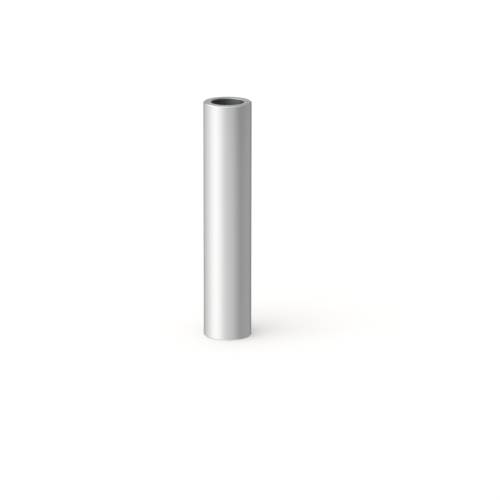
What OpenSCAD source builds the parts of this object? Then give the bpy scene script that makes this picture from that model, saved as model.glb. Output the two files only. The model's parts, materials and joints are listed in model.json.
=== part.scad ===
// Butt splice sleeve for stranded aluminium conductors: one cut length of thick-walled
// drawn tube, open right through. One conductor enters each end and the wall is pressed
// down on both. The sleeve stands on its lower end, with its axis on Z.

/* [Tube] */
// Outer diameter of the drawn tube
outer_d = 25; // [22:0.5:34]
// Diameter of the bore that takes the conductors
bore_d = 17; // [8:0.5:18]
// Length from end face to end face
sleeve_l = 125; // [60:1:200]

/* [End edges] */
// Width of the chamfer round the outside of each end
outer_chamfer = 0.5; // [0.1:0.05:1]
// Width of the deburring chamfer at each mouth of the bore
bore_chamfer = 0.35; // [0.1:0.05:0.8]

/* [Hidden] */
$fn = 128;

aluminium = [0.78, 0.79, 0.80];
outer_r = outer_d / 2;
bore_r = bore_d / 2;

// Half of one length-wise cut through the wall, from the bore outwards: both end faces
// are flat rings, and every edge between a face and a cylinder is broken at 45 degrees.
module wall_section() {
    polygon([
        [bore_r, bore_chamfer],
        [bore_r + bore_chamfer, 0],
        [outer_r - outer_chamfer, 0],
        [outer_r, outer_chamfer],
        [outer_r, sleeve_l - outer_chamfer],
        [outer_r - outer_chamfer, sleeve_l],
        [bore_r + bore_chamfer, sleeve_l],
        [bore_r, sleeve_l - bore_chamfer]
    ]);
}

module sleeve() {
    color(aluminium)
        rotate_extrude()
            wall_section();
}

sleeve();
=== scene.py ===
# A splice sleeve that stands in a plain white studio. Lengths are in metres unless a comment says otherwise.
import json
from math import atan, atan2, cos, pi, radians, sin, tan

import bmesh
import bpy
from mathutils import Matrix, Vector


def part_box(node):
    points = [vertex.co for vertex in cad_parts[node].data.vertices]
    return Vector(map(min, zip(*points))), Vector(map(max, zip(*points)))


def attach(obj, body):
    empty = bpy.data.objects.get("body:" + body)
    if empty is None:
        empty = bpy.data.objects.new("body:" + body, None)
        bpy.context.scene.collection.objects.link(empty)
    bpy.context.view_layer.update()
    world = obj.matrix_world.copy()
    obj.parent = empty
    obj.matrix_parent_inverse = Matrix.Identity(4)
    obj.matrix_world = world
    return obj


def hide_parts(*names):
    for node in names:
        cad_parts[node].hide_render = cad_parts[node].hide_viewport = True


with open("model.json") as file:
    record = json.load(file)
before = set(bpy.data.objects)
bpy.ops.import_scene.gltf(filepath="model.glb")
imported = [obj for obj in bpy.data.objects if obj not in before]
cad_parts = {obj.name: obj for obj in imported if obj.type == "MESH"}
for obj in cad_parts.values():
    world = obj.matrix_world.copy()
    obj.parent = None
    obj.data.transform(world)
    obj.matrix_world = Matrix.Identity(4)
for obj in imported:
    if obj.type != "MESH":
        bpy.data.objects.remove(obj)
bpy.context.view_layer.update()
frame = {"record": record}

# Sizes of the sleeve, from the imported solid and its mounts
MOUNTS = {mount["name"]: mount for mount in frame["record"]["mounts"]}
SLEEVE_LO, SLEEVE_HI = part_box("sleeve")
FOOT_Z = SLEEVE_LO[2]
HEAD_Z = SLEEVE_HI[2]
LENGTH = HEAD_Z - FOOT_Z
OUTER_R = min(SLEEVE_HI[0] - SLEEVE_LO[0], SLEEVE_HI[1] - SLEEVE_LO[1]) / 2
BORE_R = MOUNTS["conductor_bore"]["dims"]["r_mm"] / 1000
BORE_CHAMFER = (LENGTH - MOUNTS["conductor_bore"]["dims"]["length_mm"] / 1000) / 2
OUTER_CHAMFER = (LENGTH - MOUNTS["press_barrel"]["dims"]["length_mm"] / 1000) / 2
CENTRE = Vector((0, 0, (FOOT_Z + HEAD_Z) / 2))

# Fineness of the turned mesh: steps round the axis, along the length and round an edge of this radius
TURN_STEPS = 256
LENGTH_STEPS = 40
EDGE_STEPS = 4
EDGE_ROUND = 0.00008

# The three finishes, in the order of the mesh's materials
BARREL, FACE, BORE = range(3)

# Waves in a metre of their noise, along X, Y and Z or outwards from the axis
BARREL_LINES = (1100, 1100, 5)
BARREL_PATCHES = (60, 60, 12)
FACE_RINGS = 5200
FACE_BANDS = 1100
BORE_LINES = (1500, 1500, 40)
# Most of the noise lies within this stretch, over which the colours and the roughness below are spread
NOISE_STRETCH = (0.3, 0.7)

# The darkest and the lightest colour of the barrel, of an end face's rings from the bore outwards (the ring
# by the bore and the outer bevel are painted highlights), and of the bore's stretches from either end
# inwards (a painted highlight on the rim, painted light at the mouth and painted shade in the middle)
BARREL_COLOURS = ((0.795, 0.795, 0.79), (0.805, 0.805, 0.80))
# Painted highlight: the lighter ring of an end face by the bore
BORE_EDGE_HIGHLIGHT_COLOURS = ((0.83, 0.83, 0.83), (0.90, 0.90, 0.90))
CUT_COLOURS = ((0.70, 0.70, 0.70), (0.79, 0.79, 0.79))
# Painted highlight: the lighter outer bevel of an end face
BEVEL_HIGHLIGHT_COLOURS = ((0.79, 0.79, 0.79), (0.87, 0.87, 0.87))
# Painted highlight on the bore's rim, painted bluish light at its mouth and painted shade in its middle
RIM_HIGHLIGHT_COLOURS = ((0.68, 0.69, 0.70), (0.76, 0.77, 0.78))
MOUTH_LIGHT_COLOURS = ((0.25, 0.28, 0.305), (0.305, 0.34, 0.37))
MIDDLE_SHADE_COLOURS = ((0.09, 0.10, 0.105), (0.15, 0.165, 0.175))

# Roughness, to which the barrel's patches add a little, and the depth of the relief
BARREL_ROUGHNESS = (0.26, 0.28)
PATCH_ROUGHNESS = (0.0, 0.02)
FACE_ROUGHNESS = (0.27, 0.36)
BORE_ROUGHNESS = (0.44, 0.50)
BARREL_RELIEF = 0.0000004
FACE_RELIEF = 0.000004
BORE_RELIEF = 0.000003

# Distances from the bore between which an end face turns from its painted highlight by the bore to the plain
# cut, and from that to the painted highlight on the bevel at its outer edge
BORE_EDGE_HIGHLIGHT_RING = (0.0009, 0.0016)
BEVEL_HIGHLIGHT_RING = (0.0034, 0.0036)
# Depths from either end between which the bore turns from the painted highlight on its rim to the painted
# light of its mouth, and from that to the painted shade of its middle
RIM_HIGHLIGHT_DEPTH = (0.0003, 0.0006)
LIGHT_TO_SHADE_DEPTH = (0.002, 0.012)

# Where the sleeve is in the photograph, in its pixels
PHOTO_SIDE = 500
PHOTO_AXIS_X = 227.5
PHOTO_CENTRE_Y = 218.85
PHOTO_TUBE_WIDTH = 47.95

# The camera: its degrees above the horizon, its distance, which is 65 times the sleeve's width, how far it
# sees, and the width of its sensor in millimetres
CAMERA_HEIGHT = 14.5
CAMERA_DISTANCE = 65 * 2 * OUTER_R
CAMERA_REACH = 100
SENSOR = 36.0

# The light tent, a sphere round the sleeve. Each of its panels and soft lights has an angle to the right
# from the camera's side, a height above the horizon if it is a soft light, and a half-width, all in degrees,
# and then its brightness.
TENT_RADIUS = 0.6
TENT_SEGMENTS = 96
TENT_RINGS = 48
KEY_PANEL = (-58, 36.5, 1.075)
LOW_PANELS = [
    (-128, 18.5, 0.25),
    (23, 22.5, 0.33),
    (95, 20, 0.195),
    (127, 10, 0.165),
]
LOW_LEVEL = 0.223
SOFT_LIGHTS = [
    (180, 30, 17, 0.48),
    (-113, 48, 21, 0.93),
    (-12, 76, 17, 0.86),
    (82, 64, 13, 0.45),
    (130, 38, 17, 0.34),
    # The floor's own glow on the lower edge
    (180, -80, 20, 0.5),
]
# The key panel is tall. The low panels and the level between them end near the horizon. Both fade over a
# stretch of heights, given as sines, to a share of their brightness.
KEY_FADE = (0.65, 0.97)
KEY_REST = 0.05
LOW_FADE = (-0.12, 0.08)
LOW_REST = 0.1

# The broad lamp: degrees to the right and above the horizon, its width in degrees, and its brightness
LAMP_SIDE = -50
LAMP_HEIGHT = 50
LAMP_WIDTH = 60
LAMP_LEVEL = 0.26

# The world's brightness as a light, and the floor's colour as a source of light and as it is seen
WORLD_LEVEL = 0.86
FLOOR_SIDE = 40
FLOOR_COLOUR = (0.95, 0.95, 0.95)
PAPER_WHITE = (1.0, 0.992, 0.975)


def principled(name):
    """A new material, its node tree and the Principled node there."""
    material = bpy.data.materials.new(name)
    material.use_nodes = True
    tree = material.node_tree
    return material, tree, tree.nodes["Principled BSDF"]


def add_node(tree, kind, **settings):
    """A new node of a kind, with its settings."""
    node = tree.nodes.new(kind)
    for key, value in settings.items():
        setattr(node, key, value)
    return node


def math_node(tree, operation, first, second=None):
    """The result of a Math node whose inputs are sockets or plain numbers."""
    node = add_node(tree, "ShaderNodeMath", operation=operation)
    for socket, value in zip(node.inputs, (first, second)):
        if isinstance(value, (int, float)):
            socket.default_value = value
        elif value is not None:
            tree.links.new(value, socket)
    return node.outputs[0]


def vector_node(tree, operation, first, second=None):
    """The outputs of a Vector Math node, from a socket and, where it takes two vectors, a fixed one."""
    node = add_node(tree, "ShaderNodeVectorMath", operation=operation)
    tree.links.new(first, node.inputs[0])
    if second is not None:
        node.inputs[1].default_value = second
    return node.outputs


def own_place(tree):
    """The point's place in its object's own coordinates."""
    return add_node(tree, "ShaderNodeTexCoord").outputs["Object"]


def flattened(tree, vector):
    """A vector without its Z."""
    return vector_node(tree, "MULTIPLY", vector, (1, 1, 0))["Vector"]


def z_of(tree, vector):
    """The Z of a vector."""
    parts = add_node(tree, "ShaderNodeSeparateXYZ")
    tree.links.new(vector, parts.inputs["Vector"])
    return parts.outputs["Z"]


def from_axis(tree):
    """The distance from the sleeve's axis."""
    return vector_node(tree, "LENGTH", flattened(tree, own_place(tree)))["Value"]


def stretched_noise(tree, waves, detail):
    """Noise in the object's own coordinates, with a number of waves in a metre for each axis."""
    scale = add_node(tree, "ShaderNodeMapping")
    scale.inputs["Scale"].default_value = waves
    noise = add_node(tree, "ShaderNodeTexNoise")
    noise.inputs["Scale"].default_value = 1.0
    noise.inputs["Detail"].default_value = detail
    tree.links.new(own_place(tree), scale.inputs["Vector"])
    tree.links.new(scale.outputs["Vector"], noise.inputs["Vector"])
    return noise.outputs["Fac"]


def ring_noise(tree, waves, detail):
    """Noise that changes with the distance from the axis alone, as turning marks do."""
    noise = add_node(tree, "ShaderNodeTexNoise", noise_dimensions="1D")
    noise.inputs["Scale"].default_value = waves
    noise.inputs["Detail"].default_value = detail
    tree.links.new(from_axis(tree), noise.inputs["W"])
    return noise.outputs["Fac"]


def mapped(tree, value, stretch, result, kind="LINEAR"):
    """Brings a stretch of a value to the range of the result, whose ends hold beyond the stretch."""
    node = add_node(tree, "ShaderNodeMapRange", interpolation_type=kind)
    for name, number in zip(("From Min", "From Max", "To Min", "To Max"), (*stretch, *result)):
        node.inputs[name].default_value = number
    tree.links.new(value, node.inputs["Value"])
    return node.outputs["Result"]


def mixed(tree, factor, first, last):
    """A colour between two, each of them a socket or a plain colour."""
    node = add_node(tree, "ShaderNodeMix", data_type="RGBA")
    tree.links.new(factor, node.inputs["Factor"])
    for name, colour in (("A", first), ("B", last)):
        if isinstance(colour, tuple):
            node.inputs[name].default_value = (*colour, 1)
        else:
            tree.links.new(colour, node.inputs[name])
    return node.outputs["Result"]


def tinted(tree, noise, colours):
    """A colour between two, by noise."""
    return mixed(tree, mapped(tree, noise, NOISE_STRETCH, (0, 1)), *colours)


def turning(tree, value, stretch, first, last):
    """A colour that turns softly from one to another over a stretch of a value."""
    return mixed(tree, mapped(tree, value, stretch, (0, 1), "SMOOTHSTEP"), first, last)


def brushed_metal(name, anisotropy, rotation):
    """A new metal material, its tree and its shader. Its gloss is drawn out round the axis, and the rotation
    turns that direction, as a share of a full turn."""
    material, tree, shader = principled(name)
    tangent = add_node(tree, "ShaderNodeTangent", direction_type="RADIAL", axis="Z")
    tree.links.new(tangent.outputs["Tangent"], shader.inputs["Tangent"])
    shader.inputs["Metallic"].default_value = 1.0
    shader.inputs["Anisotropic"].default_value = anisotropy
    shader.inputs["Anisotropic Rotation"].default_value = rotation
    return material, tree, shader


def dress(tree, shader, colour, roughness, height, depth):
    """Gives a shader its colour, its roughness and a relief, whose height is a share of its depth."""
    relief = add_node(tree, "ShaderNodeBump")
    relief.inputs["Distance"].default_value = depth
    tree.links.new(height, relief.inputs["Height"])
    tree.links.new(relief.outputs["Normal"], shader.inputs["Normal"])
    tree.links.new(colour, shader.inputs["Base Color"])
    tree.links.new(roughness, shader.inputs["Roughness"])


def drawn_barrel():
    """Satin outside of the drawn tube: fine lines along its length."""
    material, tree, shader = brushed_metal("drawn_barrel", anisotropy=0.5, rotation=0)
    lines = stretched_noise(tree, BARREL_LINES, detail=2)
    patches = stretched_noise(tree, BARREL_PATCHES, detail=1)
    colour = tinted(tree, lines, BARREL_COLOURS)
    fine = mapped(tree, lines, NOISE_STRETCH, BARREL_ROUGHNESS)
    broad = mapped(tree, patches, NOISE_STRETCH, PATCH_ROUGHNESS)
    dress(tree, shader, colour, math_node(tree, "ADD", fine, broad), lines, BARREL_RELIEF)
    return material


def cut_face():
    """Faced ends: fine rings round the axis, with painted highlights by the bore and on the outer bevel."""
    material, tree, shader = brushed_metal("cut_face", anisotropy=0.5, rotation=0.25)
    rings = ring_noise(tree, FACE_RINGS, detail=4)
    bands = ring_noise(tree, FACE_BANDS, detail=1)
    # Painted highlights: the lighter ring by the bore and the lighter outer bevel
    bore_edge_highlight = tinted(tree, bands, BORE_EDGE_HIGHLIGHT_COLOURS)
    cut = tinted(tree, bands, CUT_COLOURS)
    bevel_highlight = tinted(tree, bands, BEVEL_HIGHLIGHT_COLOURS)
    from_bore = math_node(tree, "SUBTRACT", from_axis(tree), BORE_R)
    flat = turning(tree, from_bore, BORE_EDGE_HIGHLIGHT_RING, bore_edge_highlight, cut)
    colour = turning(tree, from_bore, BEVEL_HIGHLIGHT_RING, flat, bevel_highlight)
    dress(tree, shader, colour, mapped(tree, rings, NOISE_STRETCH, FACE_ROUGHNESS), rings, FACE_RELIEF)
    return material


def bore_wall():
    """Inside of the drawn tube: duller than the outside, with painted shade that darkens its middle and a
    painted highlight and painted light at its mouths.
    """
    material, tree, shader = brushed_metal("bore_wall", anisotropy=0.95, rotation=0.25)
    lines = stretched_noise(tree, BORE_LINES, detail=3)
    height = z_of(tree, own_place(tree))
    from_foot = math_node(tree, "SUBTRACT", height, FOOT_Z)
    from_head = math_node(tree, "SUBTRACT", HEAD_Z, height)
    depth = math_node(tree, "MINIMUM", from_foot, from_head)
    # Painted highlight on the rim, painted light at the mouths, and painted shade that darkens the middle
    # with depth
    rim_highlight = tinted(tree, lines, RIM_HIGHLIGHT_COLOURS)
    mouth_light = tinted(tree, lines, MOUTH_LIGHT_COLOURS)
    middle = tinted(tree, lines, MIDDLE_SHADE_COLOURS)
    lit_rim_and_mouth = turning(tree, depth, RIM_HIGHLIGHT_DEPTH, rim_highlight, mouth_light)
    colour = turning(tree, depth, LIGHT_TO_SHADE_DEPTH, lit_rim_and_mouth, middle)
    dress(tree, shader, colour, mapped(tree, lines, NOISE_STRETCH, BORE_ROUGHNESS), lines, BORE_RELIEF)
    return material


def rounded(point, before, after, radius, steps):
    """Points and normals of a small arc that rounds the corner of a profile at point."""
    towards = (before - point).normalized()
    onwards = (after - point).normalized()
    half = towards.angle(onwards) / 2
    middle = point + (towards + onwards).normalized() * radius / sin(half)
    first = point + towards * radius / tan(half) - middle
    last = point + onwards * radius / tan(half) - middle
    start = atan2(first.y, first.x)
    sweep = (atan2(last.y, last.x) - start + pi) % (2 * pi) - pi
    for step in range(steps + 1):
        angle = start + sweep * step / steps
        normal = Vector((cos(angle), sin(angle)))
        yield middle + normal * radius, normal


def sleeve_profile():
    """The section of the wall: points of radius and height, their normals and the finish that follows."""
    corners = [
        ((BORE_R, HEAD_Z - BORE_CHAMFER), BORE),
        ((BORE_R, FOOT_Z + BORE_CHAMFER), BORE),
        ((BORE_R + BORE_CHAMFER, FOOT_Z), FACE),
        ((OUTER_R - OUTER_CHAMFER, FOOT_Z), FACE),
        ((OUTER_R, FOOT_Z + OUTER_CHAMFER), BARREL),
        ((OUTER_R, HEAD_Z - OUTER_CHAMFER), FACE),
        ((OUTER_R - OUTER_CHAMFER, HEAD_Z), FACE),
        ((BORE_R + BORE_CHAMFER, HEAD_Z), BORE),
    ]
    points = [Vector(place) for place, finish in corners]
    section = []
    for index, here in enumerate(points):
        finish = corners[index][1]
        following = points[(index + 1) % len(points)]
        for point, normal in rounded(here, points[index - 1], following, EDGE_ROUND, EDGE_STEPS):
            section.append((point, normal, finish))
        if following.x == here.x:
            far = Vector((point.x, following.y))
            for step in range(1, LENGTH_STEPS):
                section.append((point.lerp(far, step / LENGTH_STEPS), normal, finish))
    return section


def turned_sleeve():
    """The sleeve as one closed mesh of revolution, with the exact normals of its profile."""
    section = sleeve_profile()
    mesh = bpy.data.meshes.new("splice_sleeve")
    build = bmesh.new()
    rings = []
    normals = []
    for point, normal, finish in section:
        ring = []
        for step in range(TURN_STEPS):
            angle = 2 * pi * step / TURN_STEPS
            ring.append(build.verts.new((point.x * cos(angle), point.x * sin(angle), point.y)))
            normals.append((normal.x * cos(angle), normal.x * sin(angle), normal.y))
        rings.append(ring)
    for this, following, (point, normal, finish) in zip(rings, rings[1:] + rings[:1], section):
        for step in range(TURN_STEPS):
            across = (step + 1) % TURN_STEPS
            face = build.faces.new((this[step], this[across], following[across], following[step]))
            face.material_index = finish
            face.smooth = True
    build.to_mesh(mesh)
    build.free()
    mesh.normals_split_custom_set_from_vertices(normals)
    for material in (drawn_barrel(), cut_face(), bore_wall()):
        mesh.materials.append(material)
    piece = bpy.data.objects.new("splice_sleeve", mesh)
    bpy.context.scene.collection.objects.link(piece)
    return piece


def heading(angle, height=0.0):
    """A direction from its degrees to the right of the camera's side and above the horizon."""
    angle, height = radians(angle), radians(height)
    return Vector((sin(angle) * cos(height), -cos(angle) * cos(height), sin(height)))


def glow_lobe(tree, direction, towards, width, brightness):
    """Brightness that falls off softly with the angle from a direction."""
    along = vector_node(tree, "DOT_PRODUCT", direction, towards)["Value"]
    fall = math_node(tree, "SUBTRACT", along, 1.0)
    shape = math_node(tree, "EXPONENT", math_node(tree, "MULTIPLY", fall, 1 / radians(width) ** 2))
    return math_node(tree, "MULTIPLY", shape, brightness)


def faded(tree, brightness, rise, stretch, rest):
    """Brightness that fades as its direction rises over a stretch, to the share of it that rests above."""
    return math_node(tree, "MULTIPLY", brightness, mapped(tree, rise, stretch, (1, rest), "SMOOTHSTEP"))


def tent_cloth():
    """The glow of the light tent, by the direction from its middle."""
    material = bpy.data.materials.new("tent_cloth")
    material.use_nodes = True
    tree = material.node_tree
    tree.nodes.clear()
    outwards = vector_node(tree, "NORMALIZE", own_place(tree))["Vector"]
    around = vector_node(tree, "NORMALIZE", flattened(tree, outwards))["Vector"]
    rise = z_of(tree, outwards)

    low = LOW_LEVEL
    for angle, width, brightness in LOW_PANELS:
        low = math_node(tree, "ADD", glow_lobe(tree, around, heading(angle), width, brightness), low)
    angle, width, brightness = KEY_PANEL
    key = glow_lobe(tree, around, heading(angle), width, brightness)
    low = faded(tree, low, rise, LOW_FADE, LOW_REST)
    key = faded(tree, key, rise, KEY_FADE, KEY_REST)
    glow = math_node(tree, "ADD", low, key)
    for angle, height, width, brightness in SOFT_LIGHTS:
        lobe = glow_lobe(tree, outwards, heading(angle, height), width, brightness)
        glow = math_node(tree, "ADD", glow, lobe)

    light = add_node(tree, "ShaderNodeEmission")
    out = add_node(tree, "ShaderNodeOutputMaterial")
    tree.links.new(glow, light.inputs["Strength"])
    tree.links.new(light.outputs["Emission"], out.inputs["Surface"])
    return material


def light_tent():
    """A round tent of soft panels, which only reflections show."""
    bpy.ops.mesh.primitive_uv_sphere_add(
        segments=TENT_SEGMENTS, ring_count=TENT_RINGS, radius=TENT_RADIUS, location=CENTRE
    )
    tent = bpy.context.object
    tent.name = "light_tent"
    tent.data.materials.append(tent_cloth())
    tent.visible_camera = False
    tent.visible_diffuse = False
    tent.visible_shadow = False


def seen_ray(tree):
    """1 for a ray of the camera, a reflection or a see-through surface, and 0 for a ray of plain light."""
    path = add_node(tree, "ShaderNodeLightPath")
    seen = math_node(tree, "ADD", path.outputs["Is Camera Ray"], path.outputs["Is Glossy Ray"])
    return math_node(tree, "MINIMUM", math_node(tree, "ADD", seen, path.outputs["Is Transmission Ray"]), 1.0)


def white_floor():
    """Matt paper under the sleeve, which takes its shadow and which reflections don't show."""
    material, tree, shader = principled("white_paper")
    colour = mixed(tree, seen_ray(tree), FLOOR_COLOUR, PAPER_WHITE)
    tree.links.new(colour, shader.inputs["Base Color"])
    shader.inputs["Roughness"].default_value = 1.0
    shader.inputs["Specular IOR Level"].default_value = 0.0
    bpy.ops.mesh.primitive_plane_add(size=FLOOR_SIDE, location=(0, 0, FOOT_Z))
    floor = bpy.context.object
    floor.name = "floor"
    floor.data.materials.append(material)
    floor.visible_glossy = False


def white_world():
    """White wherever the camera, a reflection or a see-through surface looks, and a plain level of light."""
    world = bpy.data.worlds.new("studio")
    bpy.context.scene.world = world
    world.use_nodes = True
    # Its light is even, so it needs no sampling of its own
    world.cycles.sampling_method = "NONE"
    tree = world.node_tree
    background = tree.nodes["Background"]
    extra = math_node(tree, "MULTIPLY", seen_ray(tree), 1.0 - WORLD_LEVEL)
    background.inputs["Color"].default_value = (1, 1, 1, 1)
    tree.links.new(math_node(tree, "ADD", extra, WORLD_LEVEL), background.inputs["Strength"])


def soft_lamp():
    """One broad lamp from the front left, for the soft shadow on the floor."""
    lamp = bpy.data.lights.new("soft_lamp", "SUN")
    lamp.angle = radians(LAMP_WIDTH)
    lamp.energy = LAMP_LEVEL * pi
    holder = bpy.data.objects.new("soft_lamp", lamp)
    bpy.context.scene.collection.objects.link(holder)
    holder.rotation_euler = heading(LAMP_SIDE, LAMP_HEIGHT).to_track_quat("Z", "Y").to_euler()
    holder.visible_glossy = False


def photo_camera():
    """Puts the middle of the sleeve at its place and scale in the photograph."""
    data = bpy.data.cameras.new("camera")
    camera = bpy.data.objects.new("camera", data)
    bpy.context.scene.collection.objects.link(camera)
    focal = PHOTO_TUBE_WIDTH * CAMERA_DISTANCE / (2 * OUTER_R)
    data.sensor_width = SENSOR
    data.lens = SENSOR * focal / PHOTO_SIDE
    data.clip_end = CAMERA_REACH
    back = heading(0, CAMERA_HEIGHT)
    aim = back.to_track_quat("Z", "Y").to_matrix().to_4x4()
    right = (PHOTO_SIDE / 2 - PHOTO_AXIS_X) / focal
    down = (PHOTO_SIDE / 2 - PHOTO_CENTRE_Y) / focal
    turn = Matrix.Rotation(-atan(right), 4, "Y") @ Matrix.Rotation(-atan(down), 4, "X")
    camera.matrix_world = Matrix.Translation(CENTRE + back * CAMERA_DISTANCE) @ aim @ turn
    bpy.context.scene.camera = camera


photo_camera()
sleeve = turned_sleeve()
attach(sleeve, "root")
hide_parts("sleeve")

white_floor()
white_world()
soft_lamp()
light_tent()
bpy.context.scene.view_settings.view_transform = "Standard"
